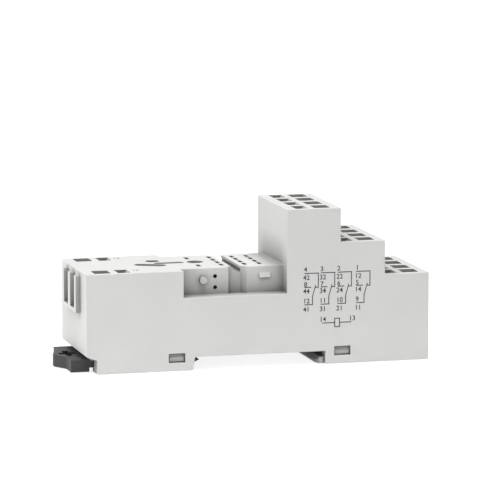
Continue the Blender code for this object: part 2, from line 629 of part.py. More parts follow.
def build_base_cover():
    """Closing plate with both feet, the rail's seat and lip, the latch tunnel and four snap tabs."""
    start = WALL + CLEARANCE
    end = BODY_LENGTH - WALL - CLEARANCE
    lip_edge = RIGHT_FOOT_START - LIP_REACH
    seat_start = LEFT_FOOT_END + TOOTH_REACH + CLEARANCE
    seat_end = lip_edge - CLEARANCE
    relief = FOOT_HEIGHT + SEAT_RELIEF
    outline = [
        (start, TOE_HEIGHT), (LEFT_FOOT_START, TOE_HEIGHT), (LEFT_FOOT_START, 0),
        (LEFT_FOOT_END - LEFT_FOOT_DRAFT, 0), (LEFT_FOOT_END, relief), (seat_start, relief),
        (seat_start, FOOT_HEIGHT), (seat_end, FOOT_HEIGHT), (seat_end, relief),
        (RIGHT_FOOT_START, relief), (RIGHT_FOOT_START, 0), (end, 0), (end, COVER_TOP),
        (start, COVER_TOP),
    ]
    cover = prism_object("base_cover", outline, "XZ", -COVER_HALF, COVER_HALF, pieces)

    lip_root = COVER_HALF - CLEARANCE
    lip = [(RIGHT_FOOT_START + OVERCUT, lip_root), (RIGHT_FOOT_START - CLEARANCE, lip_root)]
    lip += [(RIGHT_FOOT_START - CLEARANCE, LIP_HALF)]
    lip += [(lip_edge + LIP_CORNER_LENGTH * (1 + x), LIP_HALF + LIP_CORNER_WIDTH * (y - 1))
            for x, y in arc((0, 0), 1, 90, 180, 4)]
    lip += [(x, -y) for x, y in reversed(lip)]
    lip_bar = prism_object("rail_lip", lip, "XY", 0, LIP_THICKNESS, cutters)
    slope = [
        (lip_edge - OVERCUT, LIP_EDGE), (lip_edge, LIP_EDGE), (lip_edge + LIP_SLOPE, LIP_THICKNESS),
        (lip_edge + LIP_SLOPE, FOOT_HEIGHT), (lip_edge - OVERCUT, FOOT_HEIGHT),
    ]
    slope_cut = prism_object("rail_lip_slope", slope, "XZ", -BODY_HALF, BODY_HALF, cutters)
    add_boolean(lip_bar, slope_cut, "DIFFERENCE")
    add_boolean(cover, lip_bar, "UNION")

    bm = bmesh.new()
    low = WINDOW_BOTTOM + CLEARANCE
    high = WINDOW_BOTTOM + WINDOW_HEIGHT - CLEARANCE
    tip = COVER_HALF + CLEARANCE + TAB_REACH
    ramp = [
        (COVER_HALF - OVERCUT, low), (tip, low), (tip, (low + high) / 2),
        (COVER_HALF + CLEARANCE, high), (COVER_HALF - OVERCUT, high),
    ]
    for window_start, window_end in window_places():
        for side in (-1, 1):
            outline = [(side * y, z) for y, z in ramp]
            draw_prism(bm, outline, "YZ", window_start + CLEARANCE, window_end - CLEARANCE)
    add_boolean(cover, finish_mesh("snap_tabs", bm, cutters), "UNION")

    tunnel_half = LATCH_WIDTH / 2 + CLEARANCE
    tunnel_top = NECK_TOP + CLEARANCE
    tunnel = box_object(
        "latch_tunnel",
        [((LEFT_FOOT_START - OVERCUT, -tunnel_half, COVER_SKIN),
          (LEFT_FOOT_END + OVERCUT, tunnel_half, tunnel_top))],
        cutters,
    )
    mouth_half = tunnel_half - MOUTH_FLANGE
    mouth = box_object(
        "latch_mouth",
        [((LEFT_FOOT_START - 2 * OVERCUT, -mouth_half, -OVERCUT),
          (LEFT_FOOT_START + MOUTH_LENGTH, mouth_half, (COVER_SKIN + tunnel_top) / 2))],
        cutters,
    )
    spring_half = SPRING_RADIUS + SPRING_WIRE / 2 + CLEARANCE
    spring_slot = box_object(
        "spring_slot",
        [((SPRING_START, -spring_half, NECK_BOTTOM), (SPRING_END, spring_half, COVER_TOP + OVERCUT))],
        cutters,
    )
    pocket_half = COVER_HALF - LIP_POCKET_MARGIN
    core_step = (2 * pocket_half + WALL) / FOOT_CORES
    core_start = window_places()[1][0]
    foot_cores = []
    for k in range(FOOT_CORES):
        y = -pocket_half + k * core_step
        foot_cores.append(((core_start, y, COVER_SKIN),
                           (end - 2 * WALL, y + core_step - WALL, COVER_TOP + OVERCUT)))
    foot_core = box_object("foot_cores", foot_cores, cutters)
    lip_pocket = box_object(
        "lip_pocket",
        [((lip_edge - OVERCUT, -pocket_half, LIP_THICKNESS),
          (RIGHT_FOOT_START + LIP_POCKET_DEPTH, pocket_half, FOOT_HEIGHT - LIP_POCKET_ROOF))],
        cutters,
    )
    for cut in (tunnel, mouth, spring_slot, foot_core, lip_pocket):
        add_boolean(cover, cut, "DIFFERENCE")
    post = box_object(
        "spring_post",
        [((POST_START, -POST_WIDTH / 2, COVER_SKIN / 2),
          (SPRING_START, POST_WIDTH / 2, (tunnel_top + COVER_TOP) / 2))],
        cutters,
    )
    add_boolean(cover, post, "UNION")
    cover.data.materials.append(make_material("cover_grey_plastic", COVER_GREY, 0.55))


# Rail latch and its spring


def latch_nose():
    """Plan of the latch head: a rounded finger nose whose slanted sides run out in hollow curves."""
    half = LATCH_WIDTH / 2
    head = -LATCH_HEAD_REACH
    run = LATCH_NOSE_BASE - LATCH_NOSE_TIP
    lean = math.degrees(math.atan2(run, LATCH_NOSE_REACH))
    tip = (-LATCH_REACH + LATCH_NOSE_ROUND, LATCH_NOSE_TIP - LATCH_NOSE_ROUND / 2)
    root = (head - LATCH_BASE_ROUND, LATCH_NOSE_BASE + LATCH_BASE_ROUND * math.tan(math.radians(lean) / 2))
    side = arc(tip, LATCH_NOSE_ROUND, 180, 90 + lean, 3)
    side += arc(root, LATCH_BASE_ROUND, lean - 90, 0, 4)
    side += [(head, half), (LEFT_FOOT_START - LATCH_HEAD_GAP, half)]
    return side + [(x, -y) for x, y in reversed(side)]


def build_rail_latch():
    """Sliding latch: thick head with a tool cross, a flat neck in the tunnel and the rail tooth."""
    half = LATCH_WIDTH / 2
    head_end = LEFT_FOOT_START - LATCH_HEAD_GAP
    tooth_tip = LEFT_FOOT_END + TOOTH_REACH
    tooth_top = FOOT_HEIGHT - TOOTH_TOP_DROP
    tooth_root = LEFT_FOOT_END - LATCH_NECK
    middle = (NECK_BOTTOM + tooth_top) / 2
    neck = [
        (head_end - OVERCUT, NECK_BOTTOM), (tooth_tip - TOOTH_CHAMFER, NECK_BOTTOM),
        (tooth_tip, (middle + tooth_top) / 2), (tooth_tip - TOOTH_CHAMFER / 5, tooth_top),
        (tooth_root, tooth_top), (tooth_root, NECK_TOP), (head_end - OVERCUT, NECK_TOP),
    ]
    latch = prism_object("rail_latch", neck, "XZ", -half, half, pieces)
    head = prism_object("latch_head", latch_nose(), "XY", LATCH_HEAD_BOTTOM, LATCH_HEAD_TOP, cutters)
    add_boolean(latch, head, "UNION")

    window_half = LATCH_WINDOW_WIDTH / 2
    window = box_object(
        "latch_window",
        [((POST_START - CLEARANCE, -window_half, NECK_BOTTOM - OVERCUT),
          (SPRING_END, window_half, NECK_TOP + OVERCUT))],
        cutters,
    )
    add_boolean(latch, window, "DIFFERENCE")

    cross_x = CROSS_INSET - LATCH_REACH + CROSS_LENGTH / 2
    long_half, long_slot = CROSS_LENGTH / 2, CROSS_LONG_SLOT / 2
    span_half, span_slot = CROSS_SPAN / 2, CROSS_SPAN_SLOT / 2
    quarter = [(long_half, long_slot), (span_slot, long_slot), (span_slot, span_half)]
    cross = quarter + [(-x, y) for x, y in reversed(quarter)]
    cross += [(-x, -y) for x, y in cross]
    outline = [(cross_x + x, y) for x, y in cross]
    tool_cross = prism_object(
        "tool_cross", outline, "XY", LATCH_HEAD_BOTTOM - OVERCUT, LATCH_HEAD_TOP + OVERCUT, cutters,
    )
    add_boolean(latch, tool_cross, "DIFFERENCE")
    slide_axis = Vector((0, 0, (NECK_BOTTOM + NECK_TOP) / 2))
    latch.data.transform(Matrix.Translation(-slide_axis))
    latch.location = slide_axis
    latch.data.materials.append(make_material("dark_grey_plastic", DARK_GREY, 0.45))


def build_latch_spring():
    """Compression spring between the cover's post and the far wall of the latch window."""
    steps = 8
    wire = SPRING_WIRE / 2
    start = SPRING_START + CLEARANCE + wire
    end = SPRING_END - CLEARANCE - wire
    count = SPRING_TURNS * steps
    height = NECK_BOTTOM + SPRING_RADIUS + wire + CLEARANCE / 2
    curve = bpy.data.curves.new("rail_latch_spring", "CURVE")
    curve.dimensions = "3D"
    curve.bevel_depth = wire
    curve.bevel_resolution = 1
    curve.use_fill_caps = True
    spline = curve.splines.new("POLY")
    spline.points.add(count)
    for k, point in enumerate(spline.points):
        angle = 2 * math.pi * k / steps
        x = start + (end - start) * k / count
        y = SPRING_RADIUS * math.cos(angle)
        z = height + SPRING_RADIUS * math.sin(angle)
        point.co = (x, y, z, 1.0)
    spring = bpy.data.objects.new("rail_latch_spring", curve)
    pieces.objects.link(spring)
    spring.parent = carrier
    curve.materials.append(make_material("latch_spring_steel", SPRING_STEEL, 0.3, 1.0))


# Contact bars and clamp springs


def bent_strip(name, stations, thickness, material):
    """A strip bent through its stations, each the middle of a cross line (x, y, z, half width)."""
    bm = bmesh.new()
    lines = []
    for x, y, z, half in stations:
        lines.append((bm.verts.new((x, y - half, z)), bm.verts.new((x, y + half, z))))
    for (a, b), (c, d) in zip(lines, lines[1:]):
        bm.faces.new((a, b, d, c))
    strip = finish_mesh(name, bm, pieces)
    wall = strip.modifiers.new("strip_thickness", "SOLIDIFY")
    wall.thickness = thickness
    wall.offset = 0.0
    wall.use_even_offset = True
    strip.data.materials.append(material)


def fork_path(row, turn):
    """Side view of the contact that grips a blade; turn is the side on which its stem comes down."""
    top = PLATFORM_CEILING - CLEARANCE - STRIP_THICKNESS / 2
    floor = top - FORK_DEPTH
    pinch = top - FORK_PINCH_DROP
    offsets = [
        (-FORK_HALF_MOUTH, top), (-FORK_HALF_PINCH, pinch), (-FORK_HALF_MOUTH, floor),
        (FORK_HALF_MOUTH, floor), (FORK_HALF_PINCH, pinch), (FORK_HALF_MOUTH, top),
        (FORK_HALF_MOUTH + STEM_OFFSET, top),
    ]
    return [(row + turn * dx, z) for dx, z in offsets]


def bar_stations(row, turn, level, blade_y, column_y, jog, riser, shelf, plate):
    """Fork, stem, run with a sideways jog, riser, shelf and clamping plate of one contact bar."""
    narrow = BLADE_CHANNEL / 2 - CLEARANCE
    wide = COLUMN_WIDTH / 2 - CLEARANCE
    fork = fork_path(row, turn)
    stem_x = fork[-1][0]
    narrow_run = fork + [(stem_x, level), (jog[0], level)]
    wide_run = [
        (jog[1], level), (riser, level), (riser, shelf), (plate, shelf), (plate, shelf + PLATE_HEIGHT),
    ]
    stations = [(x, blade_y, z, narrow) for x, z in narrow_run]
    return stations + [(x, column_y, z, wide) for x, z in wide_run]


def spring_stations(turn, column_y, riser, shelf, plate):
    """Foot on the shelf, back, round bend and the leg that presses a wire against the plate."""
    half = COLUMN_WIDTH / 2 - SPRING_SIDE_GAP
    skin = STRIP_THICKNESS / 2 + CLEARANCE + SPRING_STRIP / 2
    back = riser + turn * (skin + CLEARANCE)
    foot = shelf + skin
    bend_z = shelf + SPRING_RISE
    path = [(plate - turn * (skin + LEG_TIP_LENGTH), foot), (back + turn * SPRING_BEND / 2, foot)]
    path += [(back, foot + SPRING_BEND / 2)]
    bend = arc((0, 0), SPRING_BEND, 180, 30, 5)
    path += [(back + turn * (SPRING_BEND + dx), bend_z + dz) for dx, dz in bend]
    tip = plate - turn * skin
    path += [(tip, shelf + LEG_TIP_RISE + LEG_TIP_LENGTH)]
    path += [(tip - turn * LEG_TIP_LENGTH / 2, shelf + LEG_TIP_RISE)]
    return [(x, column_y, z, half) for x, z in path]


def build_clamps():
    """One contact bar and one clamp spring for every blade of the relay."""
    alloy = make_material("plated_copper_alloy", PLATED_COPPER, 0.3, 1.0)
    steel = make_material("spring_steel_strip", SPRING_STEEL, 0.35, 1.0)
    tower_jog = (GALLERY_START + CLEARANCE, TIER_STARTS[0])
    rows = (("normally_closed", CLOSED_ROW), ("normally_open", OPEN_ROW), ("common", COMMON_ROW))
    clamps = []
    for tier, (name, row) in enumerate(rows):
        level = BAR_LEVELS[2 - tier]
        riser = TIER_STARTS[tier] + PLATE_INSET
        plate = TIER_ENDS[tier] - WALL - PLATE_INSET
        shelf = TIER_TOPS[tier] - ROOF_DEPTH - CLAMP_DEPTH
        for k in range(POLES):
            clamps.append((f"{name}_{k + 1}", row, 1, level, k, tower_jog, riser, shelf, plate))
    coil_jog = (COIL_GALLERY_END - WALL, COIL_GALLERY_START + 2 * WALL)
    level = BAR_LEVELS[0]
    riser = COIL_CHAMBER_END - PLATE_INSET
    plate = WALL + PLATE_INSET
    shelf = BLOCK_HEIGHT - ROOF_DEPTH - CLAMP_DEPTH
    for number, k in enumerate(OUTER_POLES):
        clamps.append((f"coil_{number + 1}", COIL_ROW, -1, level, k, coil_jog, riser, shelf, plate))
    for name, row, turn, level, k, jog, riser, shelf, plate in clamps:
        bar = bar_stations(row, turn, level, BLADE_Y[k], COLUMN_Y[k], jog, riser, shelf, plate)
        bent_strip(f"contact_{name}", bar, STRIP_THICKNESS, alloy)
        spring = spring_stations(turn, COLUMN_Y[k], riser, shelf, plate)
        bent_strip(f"clamp_spring_{name}", spring, SPRING_STRIP, steel)


clear_scene()
pieces = new_collection("relay_socket")
cutters = new_collection("cutters")
carrier = bpy.data.objects.new("socket_carrier", None)
carrier.location = ((LATCH_REACH - BODY_LENGTH) / 2, 0, 0)
pieces.objects.link(carrier)
build_housing()
build_base_cover()
build_rail_latch()
build_latch_spring()
build_clamps()
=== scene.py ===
import math

import bmesh
import bpy
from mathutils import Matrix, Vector


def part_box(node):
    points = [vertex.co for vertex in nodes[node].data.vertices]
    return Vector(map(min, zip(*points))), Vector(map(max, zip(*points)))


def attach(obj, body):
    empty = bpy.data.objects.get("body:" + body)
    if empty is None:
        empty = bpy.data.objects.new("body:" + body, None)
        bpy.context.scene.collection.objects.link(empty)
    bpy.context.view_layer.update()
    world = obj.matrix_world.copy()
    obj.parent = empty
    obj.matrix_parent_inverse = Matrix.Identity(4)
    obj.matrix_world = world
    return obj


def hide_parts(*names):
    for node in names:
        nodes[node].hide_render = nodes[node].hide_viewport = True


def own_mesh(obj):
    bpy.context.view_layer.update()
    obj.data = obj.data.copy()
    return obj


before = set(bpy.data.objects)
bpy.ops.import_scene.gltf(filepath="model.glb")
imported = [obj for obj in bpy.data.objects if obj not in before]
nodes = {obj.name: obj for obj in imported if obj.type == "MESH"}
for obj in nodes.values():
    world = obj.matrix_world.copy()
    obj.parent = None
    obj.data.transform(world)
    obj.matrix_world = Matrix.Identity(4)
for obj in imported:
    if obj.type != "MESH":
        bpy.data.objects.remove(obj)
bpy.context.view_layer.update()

bpy.ops.object.select_all(action="DESELECT")


# Housing: the big light-grey moulding with the relay platform and the stepped tower.
# Glass-filled polyamide, injection moulded in a spark-eroded tool, so it has a fine satin grain
# and very soft clouds where the melt flowed.
HOUSING_PALE = (0.735, 0.735, 0.722, 1.0)
HOUSING_DEEP = (0.690, 0.690, 0.678, 1.0)
HOUSING_SATIN = (0.44, 0.58)
HOUSING_SHINE = 0.36
# How dark the painted shade makes the housing's colour in its most shut-in spots.
HOUSING_PAINTED_SHADE = 0.24
CLOUD_SCALE = 52.0
CLOUD_SPAN = (0.32, 0.68)
SPECK_SCALE = 2600.0
SPECK_SHARE = 0.4
GRAIN_SCALE = 6800.0
GRAIN_STRENGTH = 0.16
GRAIN_DEPTH = 0.00003
# Painted shade: walls up to this far away shut a spot in, and its colour is painted darker there.
# Each step is how open the spot is, and how far its colour then goes from the shut-in level to the
# full one.
PAINTED_SHADE_REACH = 0.008
PAINTED_SHADE_SAMPLES = 8
PAINTED_SHADE_STEPS = ((0.30, 0.0), (0.45, 0.18), (0.55, 0.39), (0.84, 0.66), (0.97, 1.0))
# The span that a noise texture mostly keeps to.
NOISE_SPAN = (0.3, 0.7)


def wire(tree, source, target):
    tree.links.new(source, target)


def noise_node(tree, place, scale, detail, roughness=0.5):
    node = tree.nodes.new("ShaderNodeTexNoise")
    node.inputs["Scale"].default_value = scale
    node.inputs["Detail"].default_value = detail
    node.inputs["Roughness"].default_value = roughness
    wire(tree, place, node.inputs["Vector"])
    return node.outputs["Fac"]


def ramp_node(tree, factor, span, low_colour, high_colour):
    node = tree.nodes.new("ShaderNodeValToRGB")
    node.color_ramp.elements[0].position = span[0]
    node.color_ramp.elements[0].color = low_colour
    node.color_ramp.elements[1].position = span[1]
    node.color_ramp.elements[1].color = high_colour
    wire(tree, factor, node.inputs["Fac"])
    return node.outputs["Color"]


def range_node(tree, value, span):
    node = tree.nodes.new("ShaderNodeMapRange")
    node.inputs["From Min"].default_value = NOISE_SPAN[0]
    node.inputs["From Max"].default_value = NOISE_SPAN[1]
    node.inputs["To Min"].default_value = span[0]
    node.inputs["To Max"].default_value = span[1]
    wire(tree, value, node.inputs["Value"])
    return node.outputs["Result"]


def bump_node(tree, height, strength, depth):
    node = tree.nodes.new("ShaderNodeBump")
    node.inputs["Strength"].default_value = strength
    node.inputs["Distance"].default_value = depth
    wire(tree, height, node.inputs["Height"])
    return node.outputs["Normal"]


def painted_shade_node(tree, painted_shade_level, colour, own_walls):
    """Paints shade into a colour in wells and inner corners, counting its own walls or those of all
    the pieces.
    """
    node = tree.nodes.new("ShaderNodeAmbientOcclusion")
    node.only_local = own_walls
    node.samples = PAINTED_SHADE_SAMPLES
    node.inputs["Distance"].default_value = PAINTED_SHADE_REACH
    tone = tree.nodes.new("ShaderNodeValToRGB")
    steps = tone.color_ramp.elements
    for openness, _ in PAINTED_SHADE_STEPS[1:-1]:
        steps.new(openness)
    for step, (openness, share) in zip(steps, PAINTED_SHADE_STEPS):
        level = painted_shade_level + (1.0 - painted_shade_level) * share
        step.position = openness
        step.color = (level, level, level, 1.0)
    wire(tree, node.outputs["AO"], tone.inputs["Fac"])
    mixed = tree.nodes.new("ShaderNodeMix")
    mixed.data_type = "RGBA"
    mixed.blend_type = "MULTIPLY"
    mixed.inputs["Factor"].default_value = 1.0
    wire(tree, colour, mixed.inputs["A"])
    wire(tree, tone.outputs["Color"], mixed.inputs["B"])
    return mixed.outputs["Result"]


def moulded_plastic(name, pale, deep, satin, shine, painted_shade_level, own_walls=True):
    """Satin moulding: clouds of flow 20 mm across, specks of filler, a 0.15 mm eroded grain, and
    painted shade in wells and corners.
    """
    material = bpy.data.materials.new(name)
    material.use_nodes = True
    tree = material.node_tree
    shader = tree.nodes["Principled BSDF"]
    place = tree.nodes.new("ShaderNodeTexCoord").outputs["Object"]
    clouds = noise_node(tree, place, CLOUD_SCALE, detail=3.0)
    specks = noise_node(tree, place, SPECK_SCALE, detail=2.0)
    grain = noise_node(tree, place, GRAIN_SCALE, detail=3.0, roughness=0.6)
    mixed = tree.nodes.new("ShaderNodeMix")
    mixed.data_type = "FLOAT"
    mixed.inputs["Factor"].default_value = SPECK_SHARE
    wire(tree, clouds, mixed.inputs["A"])
    wire(tree, specks, mixed.inputs["B"])
    colour = ramp_node(tree, mixed.outputs["Result"], CLOUD_SPAN, deep, pale)
    wire(tree, painted_shade_node(tree, painted_shade_level, colour, own_walls), shader.inputs["Base Color"])
    wire(tree, range_node(tree, specks, satin), shader.inputs["Roughness"])
    wire(tree, bump_node(tree, grain, GRAIN_STRENGTH, GRAIN_DEPTH), shader.inputs["Normal"])
    shader.inputs["Specular IOR Level"].default_value = shine
    return material


def dress(node_names, material):
    """Gives the named solids the material, in place of the plain one they come with."""
    for node_name in node_names:
        slots = nodes[node_name].data.materials
        slots.clear()
        slots.append(material)


housing_satin = moulded_plastic(
    "housing_satin", HOUSING_PALE, HOUSING_DEEP, HOUSING_SATIN, HOUSING_SHINE, HOUSING_PAINTED_SHADE
)
dress(["housing"], housing_satin)


# Base cover: the plate that closes the housing from below, with both feet and the rail's fixed lip.
# The same polyamide from another tool, a shade deeper, snapped into four windows of the housing.
# Its painted shade counts the walls of all the pieces, so its tabs are painted darker in the windows.
COVER_PALE = (0.610, 0.610, 0.600, 1.0)
COVER_DEEP = (0.570, 0.570, 0.560, 1.0)
COVER_SATIN = (0.48, 0.62)
COVER_SHINE = 0.34
# How dark the painted shade makes the cover's colour in its most shut-in spots.
COVER_PAINTED_SHADE = 0.40
cover_satin = moulded_plastic(
    "cover_satin", COVER_PALE, COVER_DEEP, COVER_SATIN, COVER_SHINE, COVER_PAINTED_SHADE, own_walls=False
)
dress(["base_cover"], cover_satin)


# Rail latch: the dark slide that grips the edge of the rail and is pulled by its nose.
# Tough glass-filled polyamide dyed charcoal, whose fibres show as pale specks in a duller skin.
LATCH_PALE = (0.066, 0.066, 0.067, 1.0)
LATCH_DEEP = (0.051, 0.051, 0.052, 1.0)
LATCH_SATIN = (0.46, 0.64)
LATCH_SHINE = 0.22
# How dark the painted shade makes the latch's colour in its most shut-in spots.
LATCH_PAINTED_SHADE = 0.30
latch_charcoal = moulded_plastic(
    "latch_charcoal", LATCH_PALE, LATCH_DEEP, LATCH_SATIN, LATCH_SHINE, LATCH_PAINTED_SHADE
)
dress(["rail_latch"], latch_charcoal)


# Latch spring: the small coil that pushes the rail latch back on to the rail.
# Stainless wire, wound cold and left bright. It sits between the cover's post and the far wall
# of the latch's window.
STEEL_PALE = (0.62, 0.63, 0.65, 1.0)
STEEL_DEEP = (0.47, 0.48, 0.50, 1.0)
STEEL_POLISH = (0.24, 0.38)
STEEL_DRAWN = (180.0, 5200.0, 420.0)
TARNISH_SCALE = 240.0
TARNISH_SPAN = (0.35, 0.65)
LINE_STRENGTH = 0.12
LINE_DEPTH = 0.00002
SPRING_WIRE = 0.0005
SPRING_TURNS = 7
TURN_STEPS = 24
WIRE_SIDES = 12
SMOOTH_ANGLE = math.radians(40)


def rolled_metal(name, pale, deep, polish, drawn_out):
    """Drawn or rolled metal: fine lines drawn out along its length, with a little uneven tarnish."""
    material = bpy.data.materials.new(name)
    material.use_nodes = True
    tree = material.node_tree
    shader = tree.nodes["Principled BSDF"]
    shader.inputs["Metallic"].default_value = 1.0
    place = tree.nodes.new("ShaderNodeTexCoord").outputs["Object"]
    drawn = tree.nodes.new("ShaderNodeMapping")
    drawn.inputs["Scale"].default_value = drawn_out
    wire(tree, place, drawn.inputs["Vector"])
    lines = noise_node(tree, drawn.outputs["Vector"], 1.0, detail=4.0)
    tarnish = noise_node(tree, place, TARNISH_SCALE, detail=4.0, roughness=0.6)
    wire(tree, ramp_node(tree, tarnish, TARNISH_SPAN, deep, pale), shader.inputs["Base Color"])
    wire(tree, range_node(tree, lines, polish), shader.inputs["Roughness"])
    wire(tree, bump_node(tree, lines, LINE_STRENGTH, LINE_DEPTH), shader.inputs["Normal"])
    return material


def apply_place(piece):
    """Writes the piece's place, turn and size into its mesh, so that it sits at the origin."""
    bpy.ops.object.select_all(action="DESELECT")
    piece.select_set(True)
    bpy.context.view_layer.objects.active = piece
    bpy.ops.object.transform_apply(location=True, rotation=True, scale=True)


spring_steel = rolled_metal("bright_spring_steel", STEEL_PALE, STEEL_DEEP, STEEL_POLISH, STEEL_DRAWN)
dress(["rail_latch_spring"], spring_steel)
spring_low, spring_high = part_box("rail_latch_spring")
spring_middle = (spring_low + spring_high) / 2
spring_length = spring_high.x - spring_low.x
spring_radius = (spring_high.y - spring_low.y - SPRING_WIRE) / 2
bpy.ops.object.select_all(action="DESELECT")
bpy.ops.mesh.primitive_circle_add(
    vertices=WIRE_SIDES, radius=SPRING_WIRE / 2, location=(0, spring_radius, 0)
)
latch_coil = bpy.context.object
latch_coil.name = "latch_coil"
apply_place(latch_coil)
winding = latch_coil.modifiers.new("winding", "SCREW")
winding.axis = "X"
winding.screw_offset = (spring_length - SPRING_WIRE) / SPRING_TURNS
winding.iterations = SPRING_TURNS
winding.steps = TURN_STEPS
winding.render_steps = TURN_STEPS
bpy.ops.object.modifier_apply(modifier=winding.name)
bpy.ops.object.mode_set(mode="EDIT")
bpy.ops.mesh.select_all(action="SELECT")
bpy.ops.mesh.fill_holes(sides=WIRE_SIDES)
bpy.ops.mesh.normals_make_consistent(inside=False)
bpy.ops.object.mode_set(mode="OBJECT")
bpy.ops.object.shade_smooth_by_angle(angle=SMOOTH_ANGLE)
latch_coil.location = (spring_low.x + SPRING_WIRE / 2, spring_middle.y, spring_middle.z)
apply_place(latch_coil)
latch_coil.data.materials.append(spring_steel)
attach(latch_coil, "socket")
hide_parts("rail_latch_spring")
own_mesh(latch_coil)


# Clamp springs: one bent strip in each wire entry, which presses the wire against its contact bar.
# Stainless spring strip, blanked and bent cold, with the fine lengthwise lines of rolling.
clamp_names = sorted(name for name in nodes if name.startswith("clamp_spring_"))
dress(clamp_names, spring_steel)


# Contact bars: fourteen bars of copper alloy from the blade forks to the clamping plates.
# Blanked and bent from strip, then tin plated, so they are warm grey with a soft sheen.
TIN_PALE = (0.76, 0.71, 0.60, 1.0)
TIN_DEEP = (0.63, 0.57, 0.45, 1.0)
TIN_POLISH = (0.26, 0.42)
TIN_DRAWN = (220.0, 4600.0, 300.0)
contact_names = sorted(name for name in nodes if name.startswith("contact_"))
dress(contact_names, rolled_metal("tinned_contact_strip", TIN_PALE, TIN_DEEP, TIN_POLISH, TIN_DRAWN))


# Wiring figure on the near side: four changeover contacts and the coil, with plain terminal numbers.
# Pad printed in dark ink, a film 0.015 mm thick that lies on the moulded face.
INK_FILM = 0.000015
INK_LINE = 0.00025
INK_DARK = (0.030, 0.030, 0.032, 1.0)
INK_THIN = (0.075, 0.075, 0.078, 1.0)
INK_MATT = (0.55, 0.75)
INK_SHINE = 0.3
INK_PATCH_SCALE = 3200.0
INK_PATCH_SPAN = (0.38, 0.66)
INK_BUMP = 0.1
INK_BUMP_DEPTH = 0.00001
# Each changeover contact: the closed side hangs from the top line, and the lever leans on it.
FIGURE_TOP = 0.0248
FIGURE_STARTS = (0.01542, 0.01998, 0.02467, 0.02985)
CLOSED_RUN = 0.00376
CLOSED_FALL = 0.00388
CLOSED_HOOK = 0.00070
OPEN_DROP = 0.0038
OPEN_RUN = 0.00165
COMMON_DROP = 0.0085
COMMON_RUN = 0.00212
COMMON_RISE = 0.00205
LEVER_RUN = 0.00085
LEVER_RISE = 0.00310
# The numbers beside each contact, from the top down, and how far each lies below the top line.
NUMBER_HEIGHT = 0.00128
DIGIT_SHARE = 0.7
NUMBER_BOLDER = INK_LINE / 9
NUMBER_CURVE_STEPS = 6
ONE_DIGIT_ASIDE = 0.00020
TWO_DIGITS_ASIDE = 0.00044
NUMBER_DROPS = (-0.00102, 0.00122, 0.00302, 0.00490, 0.00755, 0.00982)
COLUMN_NUMBERS = (
    ("4", "42", "8", "44", "12", "41"),
    ("3", "32", "7", "34", "11", "31"),
    ("2", "22", "6", "24", "10", "21"),
    ("1", "12", "5", "14", "9", "11"),
)
# The coil: a box with a lead on each side, which starts at the outer edge of the box's line.
COIL_X = 0.02445
COIL_Z = 0.01115
COIL_WIDTH = 0.00136
COIL_HEIGHT = 0.0023
LEFT_LEAD = 0.00312
RIGHT_LEAD = 0.00292
COIL_NUMBER_RISE = 0.00095
COIL_NUMBERS = (("14", -0.0040), ("13", 0.0042))
UPRIGHT = math.pi / 2


def printing_ink(name, dark, thin):
    """Matt pad-printing ink, laid a little thinner in small patches."""
    material = bpy.data.materials.new(name)
    material.use_nodes = True
    tree = material.node_tree
    shader = tree.nodes["Principled BSDF"]
    place = tree.nodes.new("ShaderNodeTexCoord").outputs["Object"]
    patches = noise_node(tree, place, INK_PATCH_SCALE, detail=3.0)
    wire(tree, ramp_node(tree, patches, INK_PATCH_SPAN, dark, thin), shader.inputs["Base Color"])
    wire(tree, range_node(tree, patches, INK_MATT), shader.inputs["Roughness"])
    wire(tree, bump_node(tree, patches, INK_BUMP, INK_BUMP_DEPTH), shader.inputs["Normal"])
    shader.inputs["Specular IOR Level"].default_value = INK_SHINE
    return material


figure_ink = printing_ink("figure_ink", INK_DARK, INK_THIN)


def ink_line(start_x, start_z, legs):
    """One printed line: a nib-sized square whose edges are extruded along each leg in turn."""
    corner = Vector((start_x, 0, start_z))
    bpy.ops.object.select_all(action="DESELECT")
    bpy.ops.mesh.primitive_plane_add(size=INK_LINE, location=corner, rotation=(UPRIGHT, 0, 0))
    line = bpy.context.object
    apply_place(line)
    bpy.ops.object.mode_set(mode="EDIT")
    bpy.ops.mesh.select_mode(type="EDGE")
    for run, rise in legs:
        way = Vector((run, 0, rise))
        side = Vector((0, 0, math.copysign(1, rise)))
        if abs(run) > abs(rise):
            side = Vector((math.copysign(1, run), 0, 0))
        middle = corner + side * INK_LINE / 2
        bpy.ops.mesh.select_all(action="DESELECT")
        shape = bmesh.from_edit_mesh(line.data)
        for edge in shape.edges:
            centre = (edge.verts[0].co + edge.verts[1].co) / 2
            if (centre - middle).length < INK_LINE / 20:
                edge.select_set(True)
        bmesh.update_edit_mesh(line.data)
        short = way - side * INK_LINE
        bpy.ops.mesh.extrude_edges_move(TRANSFORM_OT_translate={"value": short})
        bpy.ops.mesh.extrude_edges_move(TRANSFORM_OT_translate={"value": side * INK_LINE})
        corner = corner + way
    bpy.ops.mesh.select_all(action="SELECT")
    bpy.ops.mesh.remove_doubles(threshold=INK_LINE / 50)
    bpy.ops.object.mode_set(mode="OBJECT")
    return line


def ink_number(text, middle, tilt):
    """A plain number set in type, then made a mesh and tilted into the plane of the print."""
    bpy.ops.object.select_all(action="DESELECT")
    bpy.ops.object.text_add(location=(0, 0, 0))
    number = bpy.context.object
    number.data.body = text
    number.data.size = NUMBER_HEIGHT / DIGIT_SHARE
    number.data.offset = NUMBER_BOLDER
    number.data.resolution_u = NUMBER_CURVE_STEPS
    number.data.align_x = "CENTER"
    number.data.align_y = "CENTER"
    bpy.ops.object.convert(target="MESH")
    number = bpy.context.object
    number.location = middle
    number.rotation_euler = (tilt, 0, 0)
    apply_place(number)
    return number


